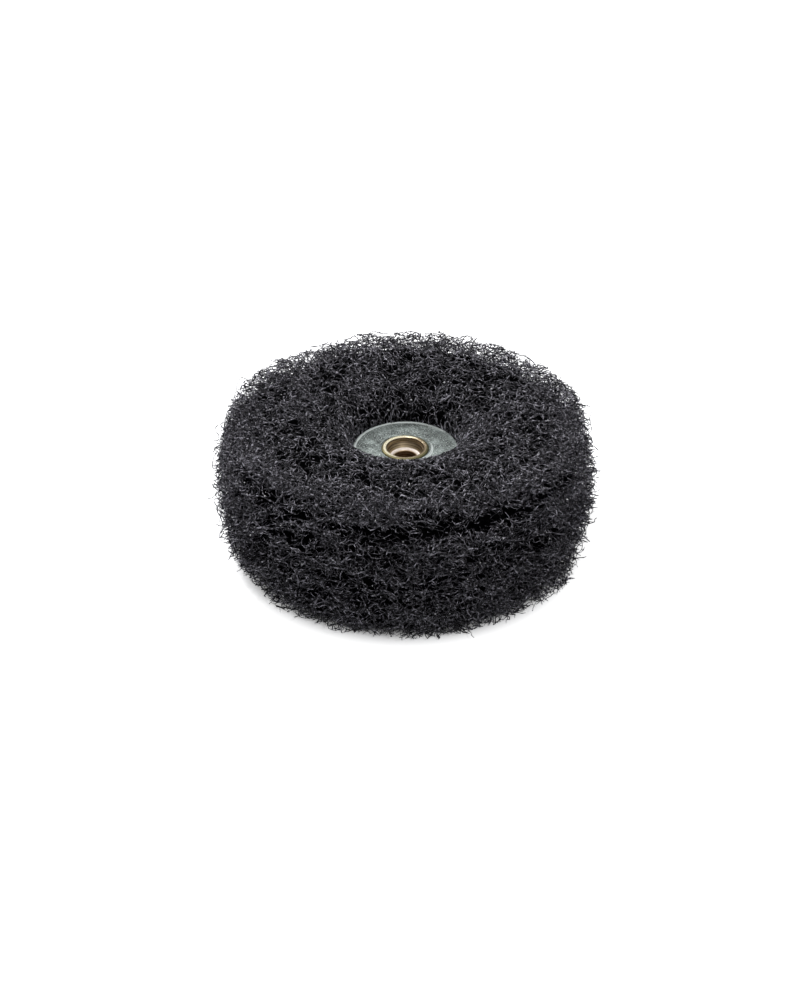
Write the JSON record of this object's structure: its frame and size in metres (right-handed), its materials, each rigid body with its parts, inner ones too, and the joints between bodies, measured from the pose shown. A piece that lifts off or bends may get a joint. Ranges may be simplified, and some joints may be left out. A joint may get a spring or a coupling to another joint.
{
  "type": "open-web polishing wheel",
  "caption": "Soft round polishing wheel of open non-woven abrasive web, pinched between steel flange washers on a brass eyelet with a spindle hole.",
  "frame": {"origin": "centre of the wheel, on the spindle axis at mid thickness", "axes": "+Z along the spindle axis out of the front face, which lies upwards; the wheel is round about Z"},
  "size_m": [0.1, 0.1, 0.04],
  "materials": {
    "abrasive_web": "matte",
    "zinc_steel": "satin",
    "eyelet_brass": "polished",
    "bush_brass": "satin"
  },
  "bodies": {
    "root": {"web_ply_1": "abrasive_web", "web_ply_2": "abrasive_web", "web_ply_3": "abrasive_web", "web_ply_4": "abrasive_web", "web_ply_5": "abrasive_web", "web_ply_6": "abrasive_web", "front_washer": "zinc_steel", "rear_washer": "zinc_steel", "eyelet": "eyelet_brass", "arbor_bush": "bush_brass"}
  },
  "joints": []
}
